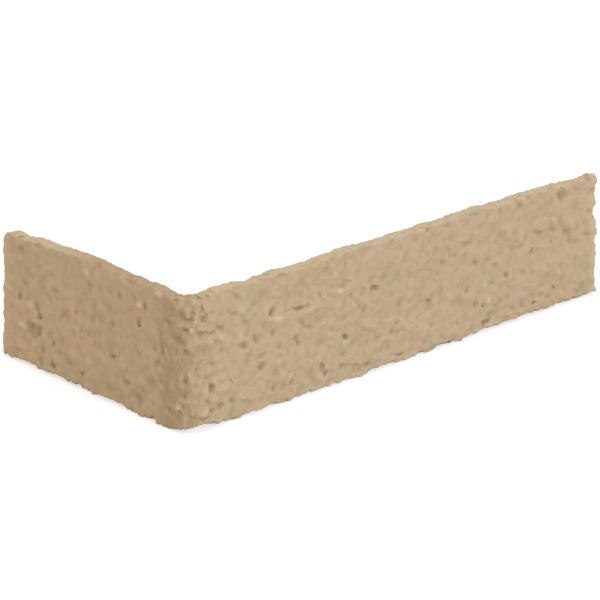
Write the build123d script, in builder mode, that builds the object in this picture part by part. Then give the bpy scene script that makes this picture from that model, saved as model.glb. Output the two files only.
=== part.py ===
from build123d import *
import os
from math import acos, cos, degrees, hypot, sin, sqrt

# A thin corner brick slip: one fired L that wraps the outside corner of a wall.
# It stands on its bed, with the long leg along X and the short leg along Y. The origin is at the
# middle of its footprint, at the height of the bed.

# The L in plan, measured on its faces from the outside corner
long_leg = 211.0
short_leg = 103.0
thickness = 5.5
bend_radius = 7.0
inside_radius = 1.5

# The faces from the front: their height, the free corners at the two ends, and the arris all round
height = 50.0
short_top_round = 4.5
long_top_round = 2.5
low_round = 2.2
arris_radius = 1.2

# Pits in the faces, each a short gouge. Each has the place of its deep end along the leg and up the
# face, as shares of them, its run, width and depth, and the way it runs, in degrees from level
short_pits = (
    (0.248, 0.69, 4.0, 2.8, 1.3, 80),
    (0.136, 0.54, 9.0, 2.0, 0.7, 86),
    (0.388, 0.62, 3.2, 2.6, 1.0, 200),
    (0.385, 0.35, 5.5, 2.2, 0.8, 150),
    (0.512, 0.76, 5.2, 2.2, 0.8, 84),
    (0.568, 0.12, 3.2, 2.2, 0.8, 20),
    (0.718, 0.07, 4.0, 2.8, 1.0, 85),
    (0.790, 0.41, 6.6, 2.8, 1.2, 108),
    (0.903, 0.50, 4.6, 2.2, 0.8, 90),
)
long_pits = (
    (0.040, 0.82, 5.6, 2.4, 0.9, 105),
    (0.062, 0.73, 4.6, 2.0, 0.8, 180),
    (0.055, 0.29, 6.0, 2.2, 0.9, 118),
    (0.186, 0.715, 3.4, 2.8, 1.3, 60),
    (0.252, 0.42, 4.0, 2.6, 1.2, 125),
    (0.260, 0.70, 6.0, 2.0, 0.7, 180),
    (0.316, 0.11, 6.4, 2.4, 1.0, 120),
    (0.364, 0.34, 6.0, 2.2, 0.8, 138),
    (0.419, 0.65, 6.0, 2.4, 0.8, 10),
    (0.562, 0.40, 3.0, 2.6, 1.1, 60),
    (0.659, 0.37, 5.6, 2.4, 0.9, 90),
    (0.703, 0.07, 4.6, 3.6, 1.6, 20),
    (0.759, 0.39, 4.2, 2.2, 1.0, 90),
    (0.822, 0.545, 3.2, 2.8, 1.3, -45),
    (0.834, 0.10, 3.6, 2.2, 0.9, 90),
)

# Broad shallow hollows: the place of each one's middle, its length, width and depth, and its tilt
short_hollows = (
    (0.825, 0.30, 12.0, 8.0, 0.7, 10),
    (0.262, 0.15, 14.0, 8.0, 0.7, 35),
    (0.500, 0.52, 36.0, 22.0, 0.35, 5),
)
long_hollows = (
    (0.260, 0.45, 46.0, 24.0, 0.4, 6),
    (0.560, 0.55, 60.0, 26.0, 0.4, -4),
    (0.725, 0.14, 12.0, 7.0, 0.6, 25),
    (0.903, 0.92, 9.0, 6.0, 0.7, 0),
    (0.927, 0.54, 16.0, 8.0, 0.6, -50),
)

# The arrises are torn in bites that run out behind the face. Each has its place along the leg as a
# share, its length and how far it goes up or down the face. The bed keeps a whole strip at its back
bed_strip = 1.9
top_reach = 1.8
short_bed_bites = (
    (0.010, 20.0, 2.6),
    (0.180, 15.0, 1.1),
    (0.380, 22.0, 1.4),
    (0.600, 7.0, 1.2),
    (0.715, 15.0, 1.5),
    (0.868, 12.0, 0.9),
)
long_bed_bites = (
    (0.028, 34.0, 2.8),
    (0.172, 21.0, 1.2),
    (0.308, 31.0, 1.0),
    (0.447, 22.0, 1.3),
    (0.535, 11.0, 0.8),
    (0.602, 13.0, 1.2),
    (0.706, 26.0, 1.5),
    (0.824, 18.0, 1.0),
    (0.914, 16.0, 1.4),
)
short_top_bites = (
    (0.070, 13.0, 0.9),
    (0.840, 15.0, 0.6),
)
long_top_bites = (
    (0.118, 9.0, 0.9),
    (0.545, 12.0, 0.5),
)

# The end of the long leg is chipped: height up the end as a share, length and depth of each chip
chip_reach = 3.4
end_chips = (
    (0.69, 9.0, 2.2),
    (0.46, 6.5, 1.0),
)

# Where the L lies: its outside corner, its two ends, and the bonding faces behind the legs
corner_x = -long_leg / 2
corner_y = -short_leg / 2
long_end = corner_x + long_leg
short_end = corner_y + short_leg
back_x = corner_x + thickness
back_y = corner_y + thickness

# Each face from the front, from the outside corner's foot: X to the right, Y up, Z out of the face
long_face = Plane(origin=(corner_x, corner_y, 0), x_dir=(1, 0, 0), z_dir=(0, -1, 0))
short_face = Plane(origin=(corner_x, corner_y, 0), x_dir=(0, -1, 0), z_dir=(-1, 0, 0))


# How tall a cutter is against the depth of its cut, and how long against the run of its mouth
height_ratio = 2
length_ratio = 1.5


def bottom_radius(width, depth):
    """The radius of a round bottom that is this wide and this deep at a flat face."""
    return (depth + width**2 / (4 * depth)) / 2


def round_bottom(plane, width, depth):
    """The profile of a cutter, whose round bottom touches the plane's origin."""
    radius = bottom_radius(width, depth)
    top = height_ratio * depth
    half_top = sqrt(top * (2 * radius - top))
    with BuildSketch(plane) as profile:
        with BuildLine():
            ThreePointArc((-half_top, top), (0, 0), (half_top, top))
            Line((half_top, top), (-half_top, top))
        make_face()
    return profile.sketch


def scoop(length, width, depth):
    """A cutter whose mouth in the XY plane is this long and wide, swung about a pivot over its middle."""
    swing_radius = bottom_radius(length, depth)
    swing = acos(1 - height_ratio * depth / swing_radius)
    pivot = Vector(0, 0, swing_radius - depth)
    start = pivot + Vector(sin(swing), 0, -cos(swing)) * swing_radius
    start_plane = Plane(origin=start, x_dir=(0, 1, 0), z_dir=(cos(swing), 0, sin(swing)))
    with BuildPart() as cutter:
        profile = round_bottom(start_plane, width, depth)
        revolve(profile, axis=Axis(pivot, (0, 1, 0)), revolution_arc=degrees(2 * swing))
    return cutter.part


def gouge(run, width, depth, lead=0):
    """A round cutter, this wide and deep at the origin, that comes out of the XY plane a run along X."""
    deep_end = Plane(origin=(0, 0, -depth), x_dir=(0, 1, 0), z_dir=(run, 0, depth))
    with BuildPart() as cutter:
        profile = round_bottom(deep_end.offset(-lead), width, depth)
        extrude(profile, amount=lead + length_ratio * hypot(run, depth))
    return cutter.part


def face_cuts(cut, face, leg, marks):
    """The pits or the hollows of one face. The leg's length is negative where it runs to the left."""
    cutters = []
    for along, up, length, width, depth, tilt in marks:
        place = Location((along * leg, up * height, 0), (0, 0, tilt))
        cutters.append(cut(length, width, depth).moved(face.location * place))
    return cutters


def arris_bites(edge, leg, reach, marks):
    """The bites along one arris. The edge's plane has X behind the face and Y along the leg."""
    cutters = []
    for along, length, depth in marks:
        place = Location((0, along * leg, 0))
        cutters.append(gouge(reach, length, depth, lead=reach).moved(edge.location * place))
    return cutters


hollows = face_cuts(scoop, short_face, -short_leg, short_hollows)
hollows += face_cuts(scoop, long_face, long_leg, long_hollows)
pits = face_cuts(gouge, short_face, -short_leg, short_pits)
pits += face_cuts(gouge, long_face, long_leg, long_pits)

# The edges that are bitten: X runs behind the face, Y along the leg and Z out of the edge
short_bed = Plane(origin=(corner_x, corner_y, 0), x_dir=(1, 0, 0), z_dir=(0, 0, -1))
long_bed = Plane(origin=(corner_x, corner_y, 0), x_dir=(0, 1, 0), z_dir=(0, 0, -1))
short_top = Plane(origin=(corner_x, corner_y, height), x_dir=(1, 0, 0), z_dir=(0, 0, 1))
long_top = Plane(origin=(corner_x, corner_y, height), x_dir=(0, 1, 0), z_dir=(0, 0, 1))
end_edge = Plane(origin=(long_end, corner_y, 0), x_dir=(0, 1, 0), z_dir=(1, 0, 0))

bed_reach = thickness - bed_strip
bites = arris_bites(short_bed, -short_leg, bed_reach, short_bed_bites)
bites += arris_bites(long_bed, long_leg, bed_reach, long_bed_bites)
bites += arris_bites(short_top, short_leg, top_reach, short_top_bites)
bites += arris_bites(long_top, -long_leg, top_reach, long_top_bites)
bites += arris_bites(end_edge, height, chip_reach, end_chips)

with BuildPart() as corner_slip:
    # The plan of the L, with the outside corner rounded as the clay was bent
    with BuildSketch() as plan:
        with BuildLine():
            Polyline(
                (corner_x, corner_y),
                (long_end, corner_y),
                (long_end, back_y),
                (back_x, back_y),
                (back_x, short_end),
                (corner_x, short_end),
                close=True,
            )
        make_face()
        outside_corner = plan.vertices().sort_by_distance((corner_x, corner_y))[0]
        fillet(outside_corner, radius=bend_radius)
        inside_corner = plan.vertices().sort_by_distance((back_x, back_y))[0]
        fillet(inside_corner, radius=inside_radius)
    extrude(amount=height)

    # The free corners of the two ends, each an edge through the thickness
    long_end_edges = corner_slip.edges().filter_by(Axis.Y).group_by(Axis.X)[-1].sort_by(Axis.Z)
    short_end_edges = corner_slip.edges().filter_by(Axis.X).group_by(Axis.Y)[-1].sort_by(Axis.Z)
    fillet(long_end_edges[-1], radius=long_top_round)
    fillet(short_end_edges[-1], radius=short_top_round)
    fillet((long_end_edges[0], short_end_edges[0]), radius=low_round)

    # The arris runs all round the face, over the bend and round the free corners
    mid_corner = (corner_x, corner_y, height / 2)
    bend = corner_slip.faces().filter_by(GeomType.CYLINDER).sort_by_distance(mid_corner)[0]
    fronts = [corner_slip.faces().sort_by(Axis.X)[0], bend, corner_slip.faces().sort_by(Axis.Y)[0]]
    seams = bend.edges().filter_by(Axis.Z)
    rim = ShapeList(edge for face in fronts for edge in face.edges())
    rim = rim.filter_by(lambda edge: not any(edge.is_same(seam) for seam in seams))
    fillet(rim, radius=arris_radius)

    add(hollows + pits + bites, mode=Mode.SUBTRACT)

corner_slip.part.label = "corner_slip"

os.makedirs("parts", exist_ok=True)
export_step(corner_slip.part, "parts/corner_slip.step")
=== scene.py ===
from math import cos, pi, radians, sin

import bpy
import numpy as np
from mathutils import Matrix, Vector


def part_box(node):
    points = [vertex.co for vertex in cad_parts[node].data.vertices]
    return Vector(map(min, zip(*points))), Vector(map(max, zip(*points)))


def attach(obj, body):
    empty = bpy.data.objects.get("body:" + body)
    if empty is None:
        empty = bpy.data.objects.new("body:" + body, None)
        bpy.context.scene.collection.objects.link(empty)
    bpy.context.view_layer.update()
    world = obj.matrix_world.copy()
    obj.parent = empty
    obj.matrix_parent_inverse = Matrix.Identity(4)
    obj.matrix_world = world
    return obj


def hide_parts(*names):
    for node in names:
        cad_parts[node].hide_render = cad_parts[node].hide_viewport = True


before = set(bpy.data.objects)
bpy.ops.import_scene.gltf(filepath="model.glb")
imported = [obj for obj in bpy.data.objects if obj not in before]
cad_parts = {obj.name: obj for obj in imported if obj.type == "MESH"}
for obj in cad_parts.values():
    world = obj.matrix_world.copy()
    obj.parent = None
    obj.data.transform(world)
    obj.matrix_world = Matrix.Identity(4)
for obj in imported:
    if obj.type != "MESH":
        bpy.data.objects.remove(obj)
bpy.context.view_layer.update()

# A thin corner brick slip. Its solid is rebuilt with a fine skin, and the relief of the clay is drawn on
# a map of the unrolled face and pressed into that skin. The slip's lengths are in millimetres
MM = 0.001
NODE = "corner_slip"

# Its outside corner, legs and height are the frame's, and the other sizes are those of the source
low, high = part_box(NODE)
CORNER = np.array(low) / MM
LONG_LEG, SHORT_LEG, HEIGHT = (high - low) / MM
THICKNESS = 5.5
BEND = 7.0
LOW_ROUND = 2.2
LONG_TOP_ROUND = 2.5
ARRIS = 1.2

# The grain that the solid is rebuilt at, and how many triangles are left in the end
VOXEL = 0.32
MAX_TRIANGLES = 190000

# The maps over the unrolled face: the width of their cells, how far they go on past the face, and the
# seed of their noise
CELL = 0.125
MARGIN = 7.0
SEED = 7

# A mark is drawn as far out from its middle as this many times its size
MARK_REACH = 1.6
# A place is as sunk as the face smoothed at the first radius lies behind that smoothed at the second
SUNK_NEAR = 0.3
SUNK_WIDE = 1.9
# What lies less than this far behind the face counts as the front
FRONT_DEPTH = 2.5
# The maps are carried on over an edge from this near to it, and from this far behind the face
EDGE = 1


class Face:
    """Maps over the unrolled face. Along runs from the outside corner, negative on the short leg, and
    up runs from the bed. The maps go on past the face over its edges."""

    def __init__(self):
        self.along0 = -SHORT_LEG - MARGIN
        self.up0 = -MARGIN
        self.columns = int((SHORT_LEG + LONG_LEG + 2 * MARGIN) / CELL)
        self.rows = int((HEIGHT + 2 * MARGIN) / CELL)
        self.shape = (self.rows, self.columns)
        self.along = self.along0 + CELL * np.arange(self.columns)
        self.up = self.up0 + CELL * np.arange(self.rows)
        self.frequency_along = np.fft.rfftfreq(self.columns, CELL)[None, :]
        self.frequency_up = np.fft.fftfreq(self.rows, CELL)[:, None]
        self.rng = np.random.default_rng(SEED)

    def smoothed(self, values, radius):
        """The map with everything finer than the radius taken out."""
        square = self.frequency_along ** 2 + self.frequency_up ** 2
        return np.fft.irfft2(np.fft.rfft2(values) * np.exp(-2 * (pi * radius) ** 2 * square), self.shape)

    def noise(self, along_size, up_size=None):
        """Smooth noise of unit spread, whose blotches have this size."""
        up_size = up_size or along_size
        square = (self.frequency_along * along_size) ** 2 + (self.frequency_up * up_size) ** 2
        white = np.fft.rfft2(self.rng.standard_normal(self.shape))
        noise = np.fft.irfft2(white * np.exp(-2 * square), self.shape)
        return noise / noise.std()

    def mixed(self, parts):
        """Noises of several strengths and sizes, added up."""
        return sum(strength * self.noise(size) for strength, size in parts)

    def stamp(self, values, along, up, length, width, tilt, depth, skew=0.0):
        """Adds one long or round mark to a map. Skew makes one side of it steep and the other shallow."""
        reach = MARK_REACH * max(length, width)
        c0, c1 = np.searchsorted(self.along, (along - reach, along + reach))
        r0, r1 = np.searchsorted(self.up, (up - reach, up + reach))
        x = self.along[c0:c1][None, :] - along
        y = self.up[r0:r1][:, None] - up
        c, s = cos(radians(tilt)), sin(radians(tilt))
        lengthwise = (x * c + y * s) / (length / 2)
        across = (y * c - x * s) / (width / 2)
        shape = np.exp(-(lengthwise ** 2 + across ** 2)) * (1 + skew * np.tanh(across))
        values[r0:r1, c0:c1] += depth * shape

    def sample(self, values, along, up):
        """Reads a map at places between its cells."""
        # Each place stays just short of the last cell, so there is always one after it
        short_of_end = 1.001
        x = np.clip((along - self.along0) / CELL, 0, self.columns - short_of_end)
        y = np.clip((up - self.up0) / CELL, 0, self.rows - short_of_end)
        c, r = x.astype(int), y.astype(int)
        fx, fy = x - c, y - r
        lower = values[r, c] * (1 - fx) + values[r, c + 1] * fx
        upper = values[r + 1, c] * (1 - fx) + values[r + 1, c + 1] * fx
        return lower * (1 - fy) + upper * fy

    def sunk(self, along, up, depth):
        """A map of how far the points lie behind the mean of what is round them."""
        c = np.clip((along - self.along0) / CELL, 0, self.columns - 1).astype(int)
        r = np.clip((up - self.up0) / CELL, 0, self.rows - 1).astype(int)
        cell = r * self.columns + c
        cells = self.rows * self.columns
        total = np.bincount(cell, depth, cells).reshape(self.shape)
        count = np.bincount(cell, minlength=cells).reshape(self.shape).astype(float)

        def mean(radius):
            # The count is kept above 0, since it is divided by
            return self.smoothed(total, radius) / np.maximum(self.smoothed(count, radius), 0.001)

        return mean(SUNK_NEAR) - mean(SUNK_WIDE)


# Marks read off the photograph: place along the leg from the corner and up from the bed, length,
# width, tilt from level and depth. A mark that rises is a crumb. On the short leg the place is taken
# from the corner too, and the tilt is as seen from the front
SHORT_MARKS = (
    (83.0, 25.5, 4.0, 2.2, 100, -0.5), (92.3, 27.5, 4.0, 2.0, 60, -0.3), (87.0, 24.5, 4.5, 3.0, 0, 0.4),
    (90.0, 32.5, 3.5, 1.6, 165, -0.45), (94.7, 42.0, 7.0, 1.5, 85, -0.35), (93.0, 46.0, 3.5, 1.6, 30, -0.5),
    (87.0, 15.5, 5.0, 3.4, 0, -0.5), (82.2, 14.5, 5.0, 2.2, 70, -0.6), (91.0, 15.0, 3.0, 2.6, 0, 0.7),
    (79.4, 8.4, 3.0, 1.6, 80, -0.55), (74.6, 17.0, 4.0, 1.6, 75, -0.5), (73.3, 13.0, 3.0, 1.4, 60, -0.4),
    (65.0, 14.0, 5.0, 1.5, 45, -0.45), (60.6, 28.7, 2.6, 2.2, 0, -0.55), (68.2, 25.5, 6.5, 1.6, 56, -0.5),
    (72.8, 34.0, 4.0, 1.2, 15, -0.3), (72.8, 31.3, 3.5, 1.3, 15, -0.35), (78.0, 31.0, 4.4, 1.5, 10, -0.5),
    (58.4, 22.2, 3.4, 1.4, 80, -0.4), (53.4, 41.0, 4.0, 2.0, 84, -0.6), (54.5, 46.3, 3.6, 2.6, 0, 0.7),
    (52.2, 46.6, 2.6, 1.4, 80, -0.55), (76.0, 39.3, 5.0, 3.0, 30, -0.2), (82.0, 49.0, 3.0, 1.6, 0, -0.3),
    (98.0, 20.8, 3.0, 1.5, 0, -0.4), (96.5, 24.5, 3.0, 3.0, 0, -0.2), (86.0, 35.6, 1.8, 1.4, 60, -0.3),
    (36.0, 42.3, 2.6, 2.2, 60, -0.4), (25.4, 42.4, 3.6, 2.6, 80, 0.45), (22.6, 42.2, 4.4, 1.6, 85, -0.6),
    (10.8, 40.7, 3.8, 2.2, 165, -0.75), (14.5, 31.6, 7.5, 1.6, 88, -0.55), (12.0, 27.0, 4.5, 1.5, 86, -0.45),
    (6.4, 29.9, 2.8, 2.0, 30, -0.7), (42.8, 31.0, 2.0, 1.6, 0, 0.3), (39.0, 19.0, 6.0, 1.6, 30, -0.5),
    (31.4, 11.2, 5.0, 1.6, 5, -0.7), (33.0, 10.3, 2.6, 1.4, 80, -0.45), (22.4, 13.6, 2.0, 1.8, 0, 0.3),
    (21.0, 15.0, 3.4, 1.4, 10, -0.4), (18.6, 16.0, 5.0, 2.6, 120, -0.5), (11.2, 14.6, 4.6, 1.7, 75, -0.45),
    (14.9, 24.0, 2.4, 1.4, 60, -0.4), (32.8, 28.4, 2.6, 1.2, 15, -0.3), (51.7, 28.8, 3.5, 2.4, 0, -0.25),
    (48.5, 19.3, 4.0, 1.8, 0, -0.25), (48.8, 13.9, 3.5, 1.4, 30, -0.3), (16.0, 49.0, 5.0, 1.8, 0, 0.4),
    (31.0, 49.2, 5.0, 1.6, 0, -0.4), (35.6, 48.6, 2.0, 1.6, 0, 0.3),
)
# The corner itself is broken by a cluster of pits and crumbs; a place before it is on the short leg
CORNER_MARKS = (
    (-5.0, 9.2, 2.6, 1.6, 20, 0.4), (-4.2, 7.8, 2.4, 1.8, 0, -0.6), (-1.4, 20.0, 3.0, 1.8, 60, -0.7),
    (-0.6, 15.2, 4.4, 1.8, 95, -0.6), (-1.4, 31.2, 2.4, 1.6, 30, -0.5), (1.2, 29.6, 3.0, 1.6, 160, -0.5),
    (-1.2, 38.6, 2.4, 1.5, 20, -0.7), (-3.5, 34.5, 6.0, 3.0, 15, -0.4), (-3.4, 44.0, 5.0, 4.0, 30, -0.5),
    (1.8, 44.6, 2.4, 1.6, 160, -0.6), (0.4, 42.5, 5.5, 1.6, 0, -0.8), (3.4, 42.0, 2.0, 1.5, 0, 0.55),
    (1.5, 38.9, 2.2, 1.8, 0, 0.65), (2.4, 6.4, 4.0, 1.2, 160, -0.4),
)
LONG_MARKS = (
    (6.6, 46.6, 5.0, 1.5, 112, -0.65), (6.9, 42.7, 4.6, 1.5, 128, -0.75), (11.1, 43.9, 2.8, 1.3, 140, -0.5),
    (13.6, 48.0, 4.6, 1.2, 125, -0.4), (6.0, 37.4, 6.5, 1.3, 168, -0.45), (8.2, 36.8, 2.0, 1.4, 150, -0.4),
    (15.0, 37.2, 5.0, 1.7, 142, -0.65), (15.6, 33.6, 5.0, 1.7, 140, 0.4), (14.4, 32.0, 6.0, 1.5, 150, -0.4),
    (21.4, 40.8, 4.2, 1.7, 150, -0.8), (27.2, 40.9, 2.6, 1.0, 165, -0.35), (23.8, 46.0, 3.6, 1.5, 145, -0.5),
    (25.8, 45.6, 1.6, 1.4, 0, 0.3), (41.5, 41.4, 5.0, 1.2, 155, -0.35), (42.0, 33.6, 7.0, 2.0, 172, 0.5),
    (40.5, 28.6, 3.6, 1.4, 95, -0.55), (42.9, 23.0, 3.6, 1.7, 150, -0.5), (43.6, 19.0, 4.6, 1.8, 172, -0.75),
    (35.0, 17.2, 3.6, 1.3, 165, -0.5), (36.0, 21.4, 2.6, 1.7, 30, -0.6), (36.4, 32.2, 3.0, 1.4, 80, -0.45),
    (32.0, 28.8, 5.0, 1.4, 122, -0.5), (27.2, 27.0, 2.6, 1.8, 130, -0.7), (29.8, 27.0, 3.5, 2.0, 120, 0.25),
    (27.6, 24.7, 5.5, 1.3, 172, 0.3), (26.0, 21.6, 4.0, 1.6, 140, -0.3), (23.0, 25.6, 2.0, 1.6, 60, -0.3),
    (11.2, 24.4, 3.0, 1.7, 130, -0.75), (8.4, 25.0, 2.6, 1.2, 10, -0.4), (8.8, 20.4, 3.6, 1.4, 125, -0.5),
    (11.6, 16.0, 5.0, 1.5, 105, -0.6), (4.4, 22.0, 4.0, 1.4, 110, -0.45), (19.9, 16.4, 3.0, 1.7, 150, -0.8),
    (16.0, 16.6, 3.4, 1.2, 150, -0.35), (21.0, 8.0, 4.0, 1.5, 135, -0.6), (9.2, 10.8, 4.0, 1.4, 155, -0.6),
    (11.2, 7.2, 3.0, 1.5, 165, -0.6), (7.4, 5.0, 5.0, 1.4, 170, -0.8), (6.0, 13.5, 5.0, 1.4, 90, 0.2),
    (41.0, 7.4, 3.4, 1.6, 95, -0.6), (49.0, 8.0, 2.8, 1.5, 140, -0.6), (35.5, 6.8, 5.0, 1.2, 155, -0.35),
    (29.0, 5.0, 2.0, 1.4, 0, -0.4), (22.2, 32.0, 4.0, 2.2, 130, -0.3), (44.0, 16.8, 2.0, 1.2, 0, -0.3),
    (45.0, 49.2, 4.0, 1.4, 160, -0.5), (48.4, 46.8, 3.0, 1.0, 160, -0.3), (52.6, 35.0, 7.0, 1.4, 172, -0.45),
    (57.0, 34.2, 2.4, 2.0, 0, -0.7), (59.8, 36.4, 2.6, 1.3, 130, -0.5), (62.8, 37.1, 3.4, 1.7, 100, -0.75),
    (60.2, 42.1, 2.6, 1.7, 140, -0.8), (67.8, 36.2, 3.2, 1.4, 145, -0.55), (72.8, 36.3, 4.8, 1.9, 172, 0.55),
    (73.4, 38.2, 4.0, 1.2, 165, -0.4), (77.4, 38.2, 2.4, 1.4, 0, -0.45), (70.2, 43.2, 2.8, 2.0, 130, 0.45),
    (69.0, 43.3, 1.6, 1.2, 0, -0.4), (76.0, 45.2, 3.2, 1.8, 110, -0.7), (78.2, 47.0, 3.6, 1.2, 165, -0.35),
    (79.2, 31.9, 8.0, 1.6, 137, -0.65), (84.9, 33.9, 2.4, 1.9, 130, -0.6), (84.9, 26.0, 2.2, 2.0, 130, -0.5),
    (90.8, 33.2, 6.0, 1.8, 152, -0.85), (94.8, 36.2, 2.2, 1.6, 0, -0.4), (97.2, 32.4, 3.6, 1.4, 140, -0.35),
    (55.0, 28.6, 3.6, 1.4, 125, -0.5), (58.6, 26.2, 4.4, 1.3, 155, -0.5), (52.6, 22.6, 3.2, 1.8, 115, -0.5),
    (51.6, 18.2, 3.0, 1.5, 100, -0.45), (58.0, 14.6, 3.6, 1.3, 160, -0.45), (62.6, 19.4, 1.8, 1.6, 0, -0.45),
    (60.6, 18.2, 2.0, 1.2, 0, -0.35), (69.0, 22.5, 2.8, 1.8, 135, -0.6), (77.4, 17.6, 4.0, 1.5, 160, -0.35),
    (68.6, 16.0, 3.0, 1.5, 150, -0.45), (64.9, 9.6, 2.4, 1.7, 120, -0.4), (77.0, 6.0, 5.0, 1.4, 165, -0.5),
    (81.0, 5.0, 2.4, 1.6, 0, -0.55), (85.0, 8.0, 2.6, 2.0, 60, -0.45), (86.8, 13.2, 2.0, 1.6, 0, -0.35),
    (94.2, 8.0, 4.0, 2.4, 80, -0.55), (99.9, 13.4, 3.0, 2.4, 150, -0.95), (86.6, 17.2, 5.0, 1.2, 160, -0.3),
    (93.2, 13.8, 4.0, 1.1, 165, -0.3), (90.4, 21.8, 2.4, 1.0, 160, -0.3), (85.3, 46.9, 2.6, 1.0, 160, -0.3),
    (87.0, 4.2, 4.0, 1.4, 165, -0.4), (51.2, 3.4, 2.4, 1.6, 130, 0.5), (64.2, 49.4, 2.0, 1.2, 0, -0.4),
    (103.6, 12.8, 4.0, 1.0, 165, -0.4), (102.2, 16.6, 3.2, 1.5, 145, -0.7),
    (103.3, 46.3, 2.4, 1.8, 110, -0.55), (111.6, 46.8, 3.2, 1.3, 165, -0.45),
    (117.2, 48.8, 2.6, 2.0, 0, -0.6), (102.4, 35.4, 3.2, 1.6, 60, -0.4), (118.0, 32.6, 6.0, 1.5, 165, -0.55),
    (123.4, 30.0, 3.0, 1.5, 0, -0.4), (107.0, 28.4, 3.0, 2.2, 120, -0.35), (103.2, 28.0, 2.6, 1.4, 0, -0.3),
    (103.4, 22.9, 2.4, 2.0, 0, -0.4), (107.9, 23.2, 2.4, 2.0, 0, -0.4), (119.8, 11.4, 3.4, 1.7, 145, -0.65),
    (123.6, 7.6, 2.6, 1.1, 165, -0.4), (125.6, 34.6, 3.0, 1.7, 110, -0.6), (128.6, 31.8, 3.0, 1.2, 150, -0.4),
    (128.2, 38.8, 4.0, 1.4, 145, -0.55), (127.8, 35.8, 2.6, 2.0, 110, 0.35),
    (131.6, 35.2, 3.0, 2.2, 0, -0.65), (136.4, 39.2, 7.0, 1.4, 168, -0.55), (135.8, 35.7, 2.0, 1.6, 0, 0.35),
    (144.8, 37.6, 3.0, 1.9, 135, -0.5), (143.4, 29.3, 2.6, 2.4, 100, -0.75),
    (140.5, 29.2, 2.4, 1.3, 150, -0.4), (135.6, 16.2, 5.0, 1.5, 135, -0.45),
    (131.8, 16.0, 3.0, 1.6, 120, -0.3), (147.6, 11.8, 3.0, 1.7, 150, -0.8),
    (146.4, 13.0, 2.4, 1.4, 140, 0.35), (150.6, 13.2, 3.0, 2.0, 90, 0.5), (148.2, 20.0, 5.5, 1.2, 95, 0.35),
    (146.4, 19.0, 4.0, 1.6, 80, -0.3), (152.0, 19.4, 4.0, 1.2, 165, -0.4), (149.4, 18.0, 4.0, 1.1, 92, -0.3),
    (151.0, 3.8, 3.0, 1.8, 0, -0.8), (152.0, 7.2, 3.4, 2.0, 135, -0.5), (144.0, 12.8, 2.6, 1.8, 60, -0.4),
    (126.0, 3.8, 5.0, 1.4, 165, -0.6), (103.6, 3.0, 6.5, 1.4, 160, -0.8), (142.0, 49.2, 4.5, 1.2, 165, -0.5),
    (121.0, 40.6, 3.0, 1.6, 0, -0.25), (148.5, 47.5, 3.6, 1.8, 150, -0.3), (115.0, 23.6, 3.0, 2.0, 0, -0.25),
    (156.0, 46.8, 3.4, 1.5, 140, -0.5), (166.5, 47.4, 3.0, 1.7, 150, -0.65),
    (156.6, 37.2, 5.0, 3.0, 145, -0.4), (163.2, 30.4, 4.0, 1.6, 165, -0.6),
    (168.0, 30.2, 4.0, 0.9, 172, -0.4), (178.2, 33.6, 5.4, 1.6, 168, -0.75),
    (186.0, 32.9, 4.4, 2.2, 150, -0.85), (178.4, 29.4, 1.8, 1.5, 0, -0.4), (193.2, 30.4, 3.6, 1.6, 165, -0.5),
    (197.5, 26.8, 8.0, 3.0, 145, -0.35), (200.0, 37.8, 5.4, 1.6, 155, -0.45),
    (206.5, 35.2, 3.0, 2.4, 0, -1.0), (208.4, 43.8, 2.4, 1.8, 0, -0.9), (206.6, 44.4, 1.8, 1.4, 0, 0.3),
    (205.4, 26.2, 6.0, 1.5, 160, -0.7), (199.6, 46.8, 5.0, 1.4, 168, -0.5),
    (189.8, 45.4, 3.0, 1.6, 110, -0.35), (191.5, 48.8, 4.0, 1.4, 170, -0.35),
    (185.0, 45.6, 3.2, 1.0, 165, -0.3), (161.2, 20.2, 3.6, 1.8, 115, -0.4), (174.6, 17.9, 2.4, 1.6, 0, -0.4),
    (183.9, 18.3, 1.8, 1.5, 0, -0.45), (190.4, 17.2, 7.0, 1.8, 162, -0.35), (167.4, 14.6, 2.4, 1.4, 0, -0.4),
    (172.6, 14.8, 4.0, 0.9, 172, -0.4), (157.8, 11.0, 4.0, 1.5, 140, -0.45),
    (187.6, 8.5, 3.2, 1.8, 150, -0.75), (181.5, 10.6, 6.0, 1.4, 150, -0.35),
    (185.0, 6.0, 5.0, 1.5, 165, -0.55), (163.5, 5.6, 3.0, 1.5, 120, -0.6),
    (175.6, 8.0, 4.0, 1.3, 120, -0.5), (177.0, 6.6, 2.0, 1.3, 120, 0.4), (176.2, 4.8, 4.0, 1.5, 165, -0.6),
    (169.5, 5.6, 4.0, 1.6, 140, -0.4), (199.0, 3.6, 6.0, 1.4, 160, -0.5), (202.0, 7.0, 4.0, 1.2, 160, -0.35),
    (197.0, 7.8, 4.0, 1.2, 160, -0.35), (154.6, 25.9, 2.0, 1.4, 0, -0.3), (168.8, 20.2, 4.0, 1.4, 160, -0.3),
    (187.0, 30.0, 2.4, 1.2, 130, -0.3),
)

# All the marks, with the places on the short leg before the corner
MARKS = [(-place, *rest) for place, *rest in SHORT_MARKS] + list(LONG_MARKS + CORNER_MARKS)

# The pits are deeper than they look, for the grain of the mesh takes some of it
PITS_DEEPER = 1.1
# One side of each mark is steeper than the other
MARK_SKEW = 0.35
# A mark that rises more than this is a pale crumb
PALE_RISE = 0.3

# How rough the clay is. The short leg is this much calmer than the long one, up to this place, and the
# change takes this far
SHORT_CALMER = 0.15
SHORT_UNTIL = -9.0
SHORT_CHANGE = 12.0
# The corner and the bed are this much rougher, and that reaches so far from them
CORNER_ROUGHER = 0.04
CORNER_REACH = 9.0
BED_ROUGHER = 0.25
BED_REACH = 4.0
# The far part of the long leg is this much calmer, after this place, and the change takes this far
FAR_CALMER = 0.15
FAR_FROM = 60.0
FAR_CHANGE = 40.0

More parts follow.
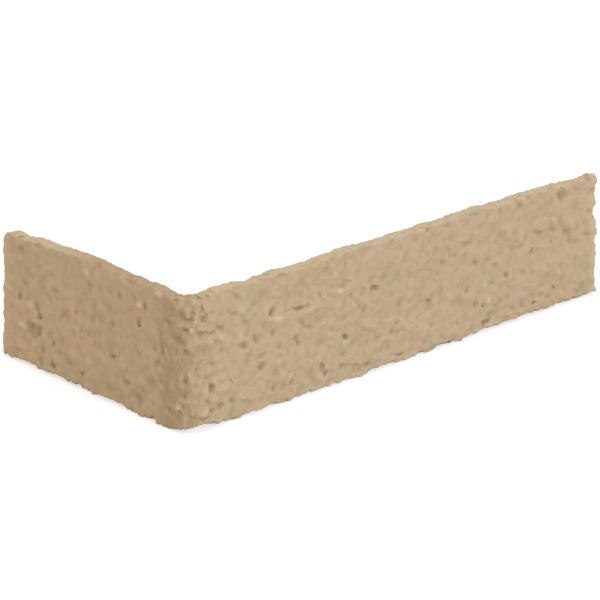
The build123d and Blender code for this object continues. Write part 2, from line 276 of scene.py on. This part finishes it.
# The random relief between the marks: how deep each kind is, and how wide its blotches are
SWELL_DEPTH = 0.18
SWELL_SIZE = 8.0
WAVE_DEPTH = 0.18
WAVE_SIZE = 3.0
GRAIN_DEPTH = 0.03
GRAIN_SIZE = 1.0
# Creases run where a noise of this size passes through 0, and a lip where it passes through another
# value. Both have a width on the noise's own scale
CREASE_DEPTH = 0.20
CREASE_SIZE = 2.7
CREASE_WIDTH = 0.5
LIP_RISE = 0.11
LIP_AT = 1.0
# They come in patches, where another noise is above a level, and grow with it up to a limit
PATCH_LENGTH = 3.4
PATCH_HEIGHT = 2.8
PATCH_LEVEL = 0.3
PATCH_LIMIT = 1.4
# So do the small pits and the small crumbs
PIT_DEPTH = 0.34
PIT_SIZE = 1.4
PIT_LEVEL = 1.75
PIT_LIMIT = 1.2
CRUMB_RISE = 0.28
CRUMB_SIZE = 1.2
CRUMB_LEVEL = 1.85
CRUMB_LIMIT = 1.0
# What is finer than this is smoothed away
FINEST = 0.26

# How far the skin slides about within its face, and how ragged its edges are, as noises of these
# strengths and sizes
SLIDES = ((0.22, 2.2), (0.08, 1.1))
RAGGED = ((0.12, 1.6), (0.05, 0.7))

# The back stays flat, and so does this much of the thickness in front of it. The relief comes in over
# this far, and the stains and the crumbs' colour over this far
BACK_FLAT = 0.3
RELIEF_FADE = 1.5
STAIN_FADE = 0.5
# By this depth behind the face the relief has weakened to this share of its strength, over this far
WEAK_DEPTH = 1.8
WEAK_SHARE = 0.4
WEAK_CHANGE = 1.2

# The edges as the photograph shows them, read off it: place along, and how far the top edge rises
TOP_LINE = (
    (-101, -0.7), (-94, -1.4), (-90, -1.0), (-86, -0.1), (-75, -0.1), (-68, 0.4), (-62, 0.8), (-53, 1.0),
    (-46, 0.7), (-42, 0.3), (-35, 0.0), (-28, 0.3), (-25, 0.0), (-18, 0.5), (-13, -0.3), (-8, -0.2),
    (-4, 0.5), (5, 0.5), (9, 0.1), (14, 0.7), (25, 0.6), (31, -0.7), (34, -0.1), (39, -0.1), (42, 0.5),
    (46, 0.0), (52, -0.4), (60, -0.3), (66, 0.0), (73, 0.3), (81, 0.3), (94, -0.5), (103, -0.1), (112, -0.5),
    (119, 0.0), (126, -0.6), (133, 0.0), (147, 0.2), (151, -0.5), (156, -0.1), (161, -0.6), (168, 0.0),
    (183, -0.5), (195, -0.4), (205, -0.9), (211, 0.5),
)
# The same for the torn arris of the bed: place along, and how high it stands
BED_LINE = (
    (-103, 0.3), (-99, 1.5), (-97, 0.7), (-93, 1.3), (-87, 1.4), (-85, 1.8), (-82, 0.5), (-80, 1.1),
    (-71, 1.3), (-68, 1.6), (-65, 0.6), (-61, 1.4), (-59, 1.2), (-58, 0.0), (-56, 1.0), (-52, 0.5),
    (-48, 1.3), (-44, 1.4), (-39, 1.1), (-33, 0.4), (-26, 0.0), (-23, 0.2), (-19, 1.5), (-15, 0.2),
    (-10, 0.1), (-5, 1.4), (0, 2.0), (6, 2.9), (11, 2.5), (15, 1.5), (17, 1.8), (24, 0.2), (28, 1.7),
    (36, 1.2), (42, 1.5), (48, 0.4), (52, 1.3), (55, 0.9), (58, 1.4), (68, 0.7), (77, 1.2), (83, 0.1),
    (88, 1.0), (93, 1.7), (101, 1.5), (106, 0.6), (115, 0.8), (121, 0.4), (124, 1.7), (133, 1.5),
    (136, 0.1), (138, 1.4), (144, 1.4), (150, 1.9), (154, 1.9), (157, 1.5), (163, 2.0), (175, 1.7),
    (178, 2.0), (183, 1.3), (190, 1.7), (195, 1.3), (198, 1.8), (202, 1.0), (205, 1.6), (211, 1.5),
)
# From above the front, a point looks this much higher for each millimetre that it lies behind the face
LOOKS_HIGHER = 0.54
# The lowest crumbs of the arris hang this far below its smoothed height
CRUMBS_HANG = 0.25
# That height is measured 1 mm apart, from 5 mm before one end of the slip to 5 mm past the other, and
# smoothed with these weights
STATIONS = np.arange(-SHORT_LEG - 5, LONG_LEG + 6)
WEIGHTS = np.array((0.1, 0.2, 0.4, 0.2, 0.1))

# The top's line bends the upper part of the face only: the higher the power, the less of it
TOP_POWER = 5
# How far up the face the changes to the bed fade to a third. The arris is moved in full at the face and
# less behind it: by a share, at most 1, that starts at the first value and falls by 1 over this far
BED_FADE = 3
TORN_SHARE = 1.1
TORN_BACK = 3.1

# At the corner the bed is worn right through: place along, length and how far it is worn up. The wear
# is full from this far behind the face
BED_WORN = (3.0, 15.0, 2.3)
WORN_BACK = 3.6

# The ends are out of square: each leg is this much longer at the bed, and this much shorter at the top
FLARE_BED = 1.5
FLARE_TOP = 1.1
FLARE_REACH = 60.0

# How far the back of the top edge is worn down near the end of the long leg, where that starts, and
# how far on it is full
BACK_WORN = 0.9
BACK_WORN_FROM = 185
BACK_WORN_CHANGE = 20

# The solid's rounds are larger than the slip's: this share of each is taken away, at the arris and at
# three free corners. For each corner: its end and the way out of it along the leg, its edge and the way
# out of it upwards, and its radius
SHARPER = 0.7
FREE_CORNERS = (
    (LONG_LEG, 1, 0, -1, LOW_ROUND),
    (-SHORT_LEG, -1, 0, -1, LOW_ROUND),
    (LONG_LEG, 1, HEIGHT, 1, LONG_TOP_ROUND),
)

# The painted shade of the hollows and the painted highlight of the high places are gone this far before the
# back. They fade over this far, there and where a map is carried on over an edge. Hollows are measured only
# where the skin's normal rises less than this
HOLLOW_BACK = 2.5
HOLLOW_FADE = 0.8
UPRIGHT = 0.6

# Stains, and a broad darkening of the short leg towards the corner: place along and up, length, height and
# strength
STAINS = (
    (-84.5, 14.0, 8.0, 5.5, 1.0),
    (-59.0, 6.0, 6.0, 4.0, 0.6),
    (-74.0, 5.0, 5.0, 4.0, 0.6),
    (-97.0, 5.0, 9.0, 6.0, 0.5),
    (20.0, 43.0, 5.0, 4.0, 0.5),
    (190.5, 46.0, 5.0, 4.0, 1.0),
    (198.0, 47.5, 9.0, 2.5, 0.8),
    (211.0, 14.0, 4.0, 26.0, 0.3),
    (190.0, 1.5, 34.0, 5.0, 1.2),
    (165.0, 1.0, 18.0, 4.0, 0.7),
    (45.0, 1.0, 14.0, 4.0, 0.5),
    (3.0, 4.0, 14.0, 7.0, 0.5),
    (-6.0, 24.0, 17.0, 70.0, 1.9),
    # This one makes the short leg darker towards the corner
    (-30.0, 22.0, 60.0, 70.0, 0.3),
    (8.0, 24.0, 16.0, 60.0, 0.5),
    (-5.0, 39.0, 9.0, 9.0, 0.8),
    (-4.0, 28.0, 8.0, 10.0, 0.7),
    (-5.0, 17.0, 8.0, 12.0, 0.5),
    (-60.0, 0.0, 90.0, 5.0, 0.5),
)

# They are broken up by noise of this strength and size, up to a limit
STAIN_BREAK = 0.5
STAIN_SIZE = 2.0
STAIN_LIMIT = 1.5

# The top edge is dirtier on the short leg: place along, and strength
TOP_DIRT = ((-103, 0.2), (-80, 0.3), (-60, 0.8), (-45, 1.9), (-8, 1.9), (0, 1.0), (12, 0.1))
# The skin counts as the top edge within this far of the top, where its normal rises more than this,
# and in full where it rises this much more
TOP_BAND = 2
TOP_NORMAL = 0.3
TOP_CHANGE = 0.4

# The clay's colours. Its grain multiplies the first three by something from dull to bright
OLIVE = (0.482, 0.366, 0.217)
TAN = (0.505, 0.368, 0.232)
PINK = (0.524, 0.372, 0.245)
DULL = (0.965, 0.965, 0.96)
BRIGHT = (1.03, 1.03, 1.03)
# Pale dust, with painted light from above, for what faces up
DUST_AND_TOP_LIGHT = (0.512, 0.438, 0.322)
STAINED = (0.400, 0.275, 0.165)
# Painted shade for the hollows
HOLLOW_SHADE = (0.31, 0.205, 0.115)
# A painted highlight for the high places
HIGH_PLACE_HIGHLIGHT = (0.60, 0.47, 0.32)
PALE = (0.68, 0.56, 0.41)
# The scales of its noises: the higher, the finer
BLOTCH_SCALE = 75
SHEEN_SCALE = 300
GRAIN_SCALE = 420
GRIT_SCALE = 1500


def share(part, whole):
    """The part's share of the whole, held between 0 and 1."""
    return np.clip(part / whole, 0, 1)


def along_line(along, line):
    """The value at each place along, on a line given by its points."""
    return np.interp(along, *np.array(line).T)


def draw_relief(face):
    """The map of the relief: the marks from the photograph, and between them creases, small pits,
    crumbs and grain. The long leg is rougher than the short one, and the corner and bed roughest."""
    along, up = face.along[None, :], face.up[:, None]
    rough = 1 - SHORT_CALMER + SHORT_CALMER * share(along - SHORT_UNTIL, SHORT_CHANGE)
    rough = rough + CORNER_ROUGHER * np.exp(-(along / CORNER_REACH) ** 2)
    rough = rough + BED_ROUGHER * np.exp(-np.abs(up) / BED_REACH)

    relief = SWELL_DEPTH * face.noise(SWELL_SIZE) + WAVE_DEPTH * rough * face.noise(WAVE_SIZE)
    bent = face.noise(CREASE_SIZE)
    patches = np.clip(face.noise(PATCH_LENGTH, PATCH_HEIGHT) - PATCH_LEVEL, 0, PATCH_LIMIT) * rough
    relief -= CREASE_DEPTH * patches * np.exp(-(bent / CREASE_WIDTH) ** 2)
    relief += LIP_RISE * patches * np.exp(-((bent - LIP_AT) / CREASE_WIDTH) ** 2)
    relief -= PIT_DEPTH * rough * np.clip(-face.noise(PIT_SIZE) - PIT_LEVEL, 0, PIT_LIMIT)
    relief += CRUMB_RISE * rough * np.clip(face.noise(CRUMB_SIZE) - CRUMB_LEVEL, 0, CRUMB_LIMIT)
    relief += GRAIN_DEPTH * rough * face.noise(GRAIN_SIZE)
    for place, height, length, width, tilt, rise in MARKS:
        deeper = PITS_DEEPER if rise < 0 else 1
        face.stamp(relief, place, height, length, width, tilt, rise * deeper, MARK_SKEW)
    relief *= 1 - FAR_CALMER * share(along - FAR_FROM, FAR_CHANGE)
    return face.smoothed(relief, FINEST)


def draw_stain(face):
    """The map of the stains."""
    stain = np.zeros(face.shape)
    for place, height, length, width, strength in STAINS:
        face.stamp(stain, place, height, length, width, 0, strength)
    return stain * np.clip(1 + STAIN_BREAK * face.noise(STAIN_SIZE), 0, STAIN_LIMIT)


def draw_crumbs(face):
    """The map of the pale crumbs."""
    crumbs = np.zeros(face.shape)
    for place, height, length, width, tilt, rise in MARKS:
        if rise > PALE_RISE:
            face.stamp(crumbs, place, height, length, width, tilt, rise)
    return crumbs


def unroll(points):
    """For points from the outside corner's foot: along, up, depth behind the face, and the way along
    the face there."""
    x, y, up = points.T
    rx, ry = BEND - x, BEND - y
    in_bend = (rx > 0) & (ry > 0)
    turn = np.where(in_bend, np.arctan2(rx, ry), np.where(rx > 0, pi / 2, 0))
    depth = np.where(in_bend, BEND - np.hypot(rx, ry), np.where(rx > 0, x, y))
    along = np.where(in_bend, BEND * (1 - 2 * turn / (pi / 2)), np.where(rx > 0, -y, x))
    way = np.stack((np.cos(turn), -np.sin(turn), np.zeros_like(turn)), axis=1)
    return along, up, depth, way


def over_the_edge(along, up, depth):
    """Carries the map on over the top, the bed and the ends, where it runs back with the depth."""
    behind = np.maximum(depth - EDGE, 0)
    up = up + behind * ((up > HEIGHT - EDGE).astype(float) - (up < EDGE))
    along = along + behind * ((along > LONG_LEG - EDGE).astype(float) - (along < EDGE - SHORT_LEG))
    return along, up


def mesh_arrays(mesh):
    """The vertices and their normals, as two arrays."""
    count = len(mesh.vertices)
    points = np.empty(count * 3)
    mesh.vertices.foreach_get("co", points)
    normals = np.empty(count * 3)
    mesh.vertices.foreach_get("normal", normals)
    return points.reshape(-1, 3), normals.reshape(-1, 3)


def applied(obj, name):
    """The object's mesh with its modifiers applied, as a new mesh."""
    graph = bpy.context.evaluated_depsgraph_get()
    mesh = bpy.data.meshes.new_from_object(obj.evaluated_get(graph))
    mesh.name = name
    return mesh


def add_attribute(mesh, name, values):
    """One number at each vertex, for the material to read."""
    attribute = mesh.attributes.new(name, "FLOAT", "POINT")
    attribute.data.foreach_set("value", values.astype(np.float32))


def rounding_undone(out_one_way, out_other_way):
    """How far a point in a round is drawn out each way, as a share of how far out it is that way."""
    # The furthest is kept above 0, since it is divided by
    furthest = np.maximum(np.maximum(out_one_way, out_other_way), 0.01)
    return SHARPER * (np.hypot(out_one_way, out_other_way) / furthest - 1)


def sharpened(local, along, up, depth):
    """Draws three of the free corners and the arris out again: they are sharper than the solid's."""
    _, _, _, way = unroll(local)
    for end, side, edge, upward, radius in FREE_CORNERS:
        out_along = np.maximum((along - end) * side + radius, 0)
        out_up = np.maximum((up - edge) * upward + radius, 0)
        grow = rounding_undone(out_along, out_up) * (1 - share(depth, THICKNESS))
        local = local + way * (side * out_along * grow)[:, None]
        local[:, 2] += upward * out_up * grow
    outward = np.stack((way[:, 1], -way[:, 0], np.zeros_like(up)), axis=1)
    out_face = np.maximum(ARRIS - depth, 0)
    for edge, upward in ((0, -1), (HEIGHT, 1)):
        out_up = np.maximum((up - edge) * upward + ARRIS, 0)
        grow = rounding_undone(out_face, out_up)
        local = local + outward * (out_face * grow)[:, None]
        local[:, 2] += upward * out_up * grow
    return local


def arris_height(along, height, depth):
    """How high the arris of the bed stands below each point, as it looks from above the front."""
    nearest = np.clip(np.round(along - STATIONS[0]).astype(int), 0, len(STATIONS) - 1)
    front = depth < FRONT_DEPTH
    lowest = np.full(len(STATIONS), HEIGHT)
    np.minimum.at(lowest, nearest[front], (height + LOOKS_HIGHER * depth)[front])
    known = lowest < HEIGHT / 2
    lowest = np.interp(STATIONS, STATIONS[known], lowest[known])
    smooth = np.convolve(np.pad(lowest, len(WEIGHTS) // 2, mode="edge"), WEIGHTS, mode="valid")
    return np.interp(along, STATIONS, smooth) - CRUMBS_HANG


def fine_skin():
    """A copy of the solid, rebuilt with small even faces."""
    slip = bpy.data.objects.new("slip_body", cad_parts[NODE].data.copy())
    bpy.context.scene.collection.objects.link(slip)
    slip.data.materials.clear()
    remesh = slip.modifiers.new("fine_skin", "REMESH")
    remesh.mode = "VOXEL"
    remesh.voxel_size = VOXEL * MM
    slip.data = applied(slip, "slip_skin")
    slip.modifiers.clear()
    return slip


def pressed(face, plain, normals, relief, slides):
    """The plain skin with the relief pressed in and slid about. The back keeps its flat bonding faces."""
    along, up, depth, way = unroll(plain)
    place = over_the_edge(along, up, depth)
    front = share(THICKNESS - BACK_FLAT - depth, RELIEF_FADE)
    strength = WEAK_SHARE + (1 - WEAK_SHARE) * share(WEAK_DEPTH - depth, WEAK_CHANGE)
    slide_along, slide_up = (face.sample(slide, *place) * front for slide in slides)
    local = plain + normals * (face.sample(relief, *place) * front * strength)[:, None]
    local += way * slide_along[:, None]
    local[:, 2] += slide_up
    return local


def draw_edges(face, local, along, up, depth, ragged):
    """Moves the top edge and the torn arris of the bed to their lines, and wears the bed through."""
    top_ragged, bed_ragged = (np.interp(along, face.along, edge) for edge in ragged)
    rise = along_line(along, TOP_LINE) + top_ragged
    rise -= BACK_WORN * share(along - BACK_WORN_FROM, BACK_WORN_CHANGE) * share(depth, THICKNESS)
    local[:, 2] += rise * share(up, HEIGHT) ** TOP_POWER

    middle, length, deep = BED_WORN
    through = deep * np.exp(-((along - middle) / length) ** 2) * share(depth, WORN_BACK)
    local[:, 2] += through * np.exp(-np.maximum(up, 0) / BED_FADE)
    arris = arris_height(along, local[:, 2], depth)
    rise = along_line(along, BED_LINE) + bed_ragged - arris
    torn = np.clip(TORN_SHARE - depth / TORN_BACK, 0, 1)
    local[:, 2] += rise * np.exp(-np.maximum(up - arris, 0) / BED_FADE) * torn


def lean_ends(local, along, up, way):
    """Leans the two ends, out at the bed and in at the top."""
    to_end = np.where(along > 0, LONG_LEG - along, along + SHORT_LEG)
    lean = (1 - share(to_end, FLARE_REACH)) * (FLARE_BED - (FLARE_BED + FLARE_TOP) * up / HEIGHT)
    local += way * (np.sign(along) * lean)[:, None]


def mark_for_material(mesh, face, sunk, stain, crumbs):
    """Gives the mesh what its material reads: how sunk, how stained and how much a crumb each point is."""
    points, normals = mesh_arrays(mesh)
    along, up, depth, _ = unroll(points / MM - CORNER)
    place = over_the_edge(along, up, depth)
    front = share(THICKNESS - BACK_FLAT - depth, STAIN_FADE)
    carried = np.abs(place[0] - along) + np.abs(place[1] - up)
    painted_shading_reach = share(THICKNESS - HOLLOW_BACK - depth, HOLLOW_FADE) * (1 - share(carried, HOLLOW_FADE))
    topmost = share(normals[:, 2] - TOP_NORMAL, TOP_CHANGE) * (up > HEIGHT - TOP_BAND)
    top_dirt = along_line(along, TOP_DIRT) * topmost
    # How sunk each point is: the material paints shade into the hollows and a highlight onto the high places
    add_attribute(mesh, "sunk", face.sample(sunk, along, up) * painted_shading_reach)
    add_attribute(mesh, "stain", face.sample(stain, *place) * front + top_dirt)
    add_attribute(mesh, "crumb", face.sample(crumbs, *place) * front)


def make_slip():
    """The slip, with its relief pressed in, its edges drawn and its mesh marked for the material."""
    face = Face()
    relief = draw_relief(face)
    slides = [face.mixed(SLIDES) for _ in range(2)]
    ragged = [face.mixed(RAGGED)[0] for _ in range(2)]
    slip = fine_skin()
    points, normals = mesh_arrays(slip.data)
    plain = points / MM - CORNER
    along, _, depth, way = unroll(plain)
    local = pressed(face, plain, normals, relief, slides)
    # From here on the height is the pressed skin's, and the place along and the depth the plain one's
    up = local[:, 2].copy()
    local = sharpened(local, along, up, depth)
    draw_edges(face, local, along, up, depth, ragged)
    lean_ends(local, along, up, way)
    local[:, 2] = np.maximum(local[:, 2], 0.0)
    slip.data.vertices.foreach_set("co", ((local + CORNER) * MM).ravel())
    slip.data.update()

    # How sunk each place is, is measured while the skin is still fine
    _, normals = mesh_arrays(slip.data)
    along, up, depth, _ = unroll(local)
    fore = (depth < FRONT_DEPTH) & (np.abs(normals[:, 2]) < UPRIGHT)
    sunk = face.sunk(along[fore], up[fore], depth[fore])

    decimate = slip.modifiers.new("fewer_faces", "DECIMATE")
    decimate.ratio = min(1.0, MAX_TRIANGLES / (2 * len(slip.data.polygons)))
    slip.data = applied(slip, "slip_mesh")
    slip.modifiers.clear()
    mark_for_material(slip.data, face, sunk, draw_stain(face), draw_crumbs(face))
    for polygon in slip.data.polygons:
        polygon.use_smooth = True
    return slip


def fired_clay():
    """Matt sandy clay: warm and cool blotches, pale dust with painted light on what faces up, painted shade
    in the pits, painted highlights on the high places, paler crumbs and fine grit.
    """
    material = bpy.data.materials.new("fired_clay")
    material.use_nodes = True
    nodes, links = material.node_tree.nodes, material.node_tree.links
    shader = nodes["Principled BSDF"]
    shader.inputs["Specular IOR Level"].default_value = 0.2
    place = nodes.new("ShaderNodeTexCoord")

    def noise(scale, detail, rough=0.5):
        node = nodes.new("ShaderNodeTexNoise")
        node.inputs["Scale"].default_value = scale
        node.inputs["Detail"].default_value = detail
        node.inputs["Roughness"].default_value = rough
        links.new(place.outputs["Object"], node.inputs["Vector"])
        return node.outputs["Fac"]

    def ramp(source, *stops):
        node = nodes.new("ShaderNodeValToRGB")
        points = node.color_ramp.elements
        while len(points) < len(stops):
            points.new(0.5)
        for point, (position, color) in zip(points, stops):
            point.position = position
            point.color = (*color, 1)
        links.new(source, node.inputs["Fac"])
        return node.outputs["Color"]

    def spread(source, low, high, least, most):
        node = nodes.new("ShaderNodeMapRange")
        for name, value in (("From Min", low), ("From Max", high), ("To Min", least), ("To Max", most)):
            node.inputs[name].default_value = value
        links.new(source, node.inputs["Value"])
        return node.outputs["Result"]

    def attribute(name):
        node = nodes.new("ShaderNodeAttribute")
        node.attribute_name = name
        return node.outputs["Fac"]

    def mix(kind, factor, a, b):
        node = nodes.new("ShaderNodeMix")
        node.data_type = "RGBA"
        node.blend_type = kind
        for socket, value in ((node.inputs["Factor"], factor), (node.inputs[6], a), (node.inputs[7], b)):
            if isinstance(value, (int, float)):
                socket.default_value = value
            elif isinstance(value, tuple):
                socket.default_value = (*value, 1)
            else:
                links.new(value, socket)
        return node.outputs[2]

    def painted(color, where, low, high, most, paint):
        """The color with a paint over it: none where the value is low, and the most where it is high."""
        return mix("MIX", spread(where, low, high, 0, most), color, paint)

    body = ramp(noise(BLOTCH_SCALE, 3), (0.36, OLIVE), (0.5, TAN), (0.64, PINK))
    grain = ramp(noise(GRAIN_SCALE, 3, 0.6), (0.3, DULL), (0.7, BRIGHT))
    color = mix("MULTIPLY", 1.0, body, grain)
    # Pale dust and painted light from above lie on what faces up. Then come stains, painted shade in the
    # hollows, painted highlights on the high places and pale crumbs
    normal = nodes.new("ShaderNodeSeparateXYZ")
    links.new(place.outputs["Normal"], normal.inputs["Vector"])
    # Painted light from above, with pale dust, on what faces up
    color = painted(color, normal.outputs["Z"], 0.75, 1.0, 0.75, DUST_AND_TOP_LIGHT)
    color = painted(color, attribute("stain"), 0.1, 1.5, 0.75, STAINED)
    # Painted shade darkens the hollows
    color = painted(color, attribute("sunk"), 0.05, 0.6, 0.75, HOLLOW_SHADE)
    # A painted highlight lightens the high places
    color = painted(color, attribute("sunk"), -0.08, -0.4, 0.4, HIGH_PLACE_HIGHLIGHT)
    color = painted(color, attribute("crumb"), 0.1, 0.5, 0.5, PALE)
    links.new(color, shader.inputs["Base Color"])
    links.new(spread(noise(SHEEN_SCALE, 2), 0.3, 0.7, 0.85, 1.0), shader.inputs["Roughness"])

    grit = nodes.new("ShaderNodeBump")
    grit.inputs["Strength"].default_value = 0.18
    grit.inputs["Distance"].default_value = 0.0004
    links.new(noise(GRIT_SCALE, 3, 0.6), grit.inputs["Height"])
    links.new(grit.outputs["Normal"], shader.inputs["Normal"])
    return material


def make_floor():
    """A white floor, wide enough to fill any view. It looks brighter than it is, so its shadows are
    pale, but it throws no more light on the slip than white card would."""
    mesh = bpy.data.meshes.new("floor")
    half = 6.0
    corners = [(-half, -half, 0), (half, -half, 0), (half, half, 0), (-half, half, 0)]
    mesh.from_pydata(corners, [], [(0, 1, 2, 3)])
    floor = bpy.data.objects.new("floor", mesh)
    bpy.context.scene.collection.objects.link(floor)
    material = bpy.data.materials.new("white_floor")
    material.use_nodes = True
    nodes, links = material.node_tree.nodes, material.node_tree.links
    shader = nodes["Principled BSDF"]
    shader.inputs["Base Color"].default_value = (0.5, 0.5, 0.5, 1)
    shader.inputs["Roughness"].default_value = 1.0
    shader.inputs["Specular IOR Level"].default_value = 0.0
    shader.inputs["Emission Color"].default_value = (1, 1, 1, 1)
    path = nodes.new("ShaderNodeLightPath")
    shine = nodes.new("ShaderNodeMapRange")
    shine.inputs["To Min"].default_value = 0.2
    shine.inputs["To Max"].default_value = 0.6
    links.new(path.outputs["Is Camera Ray"], shine.inputs["Value"])
    links.new(shine.outputs["Result"], shader.inputs["Emission Strength"])
    mesh.materials.append(material)


def light_scene():
    """Even and slightly warm light from all round, a plain white backdrop, and a soft cool sun from above
    and in front of the long leg, which only grazes the short one."""
    world = bpy.data.worlds.new("studio")
    bpy.context.scene.world = world
    world.use_nodes = True
    nodes, links = world.node_tree.nodes, world.node_tree.links
    background = nodes["Background"]
    tint = nodes.new("ShaderNodeMix")
    tint.data_type = "RGBA"
    tint.inputs[6].default_value = (1.07, 0.995, 0.90, 1)
    tint.inputs[7].default_value = (1, 1, 1, 1)
    links.new(tint.outputs[2], background.inputs["Color"])
    path = nodes.new("ShaderNodeLightPath")
    seen = nodes.new("ShaderNodeMath")
    seen.operation = "MAXIMUM"
    links.new(path.outputs["Is Camera Ray"], seen.inputs[0])
    links.new(path.outputs["Is Glossy Ray"], seen.inputs[1])
    links.new(seen.outputs["Value"], tint.inputs["Factor"])
    strength = nodes.new("ShaderNodeMapRange")
    strength.inputs["To Min"].default_value = 0.93
    strength.inputs["To Max"].default_value = 1.0
    links.new(seen.outputs["Value"], strength.inputs["Value"])
    links.new(strength.outputs["Result"], background.inputs["Strength"])

    sun = bpy.data.lights.new("key", "SUN")
    sun.energy = 1.0
    sun.angle = radians(14)
    sun.color = (0.76, 1.0, 1.27)
    key = bpy.data.objects.new("key", sun)
    bpy.context.scene.collection.objects.link(key)
    towards = Vector((0.0, -0.78, 0.62))
    key.rotation_euler = towards.to_track_quat("Z", "Y").to_euler()


def make_camera():
    """The photograph's view: over the outside corner, a little from above, with a long lens."""
    data = bpy.data.cameras.new("camera")
    data.sensor_width = 36.0
    data.lens = 186.456
    data.clip_start = 0.05
    data.clip_end = 50
    camera = bpy.data.objects.new("camera", data)
    bpy.context.scene.collection.objects.link(camera)
    place = Vector((-0.75803, -0.79949, 0.43272))
    turn, dip, roll = radians(43.328), radians(21.002), radians(0.614)
    camera.matrix_world = (
        Matrix.Translation(place)
        @ Matrix.Rotation(-turn, 4, "Z")
        @ Matrix.Rotation(pi / 2 - dip, 4, "X")
        @ Matrix.Rotation(roll, 4, "Z")
    )
    bpy.context.scene.camera = camera


bpy.context.scene.view_settings.view_transform = "Standard"
make_camera()
light_scene()
make_floor()

slip = make_slip()
slip.data.materials.append(fired_clay())
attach(slip, "root")
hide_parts(NODE)
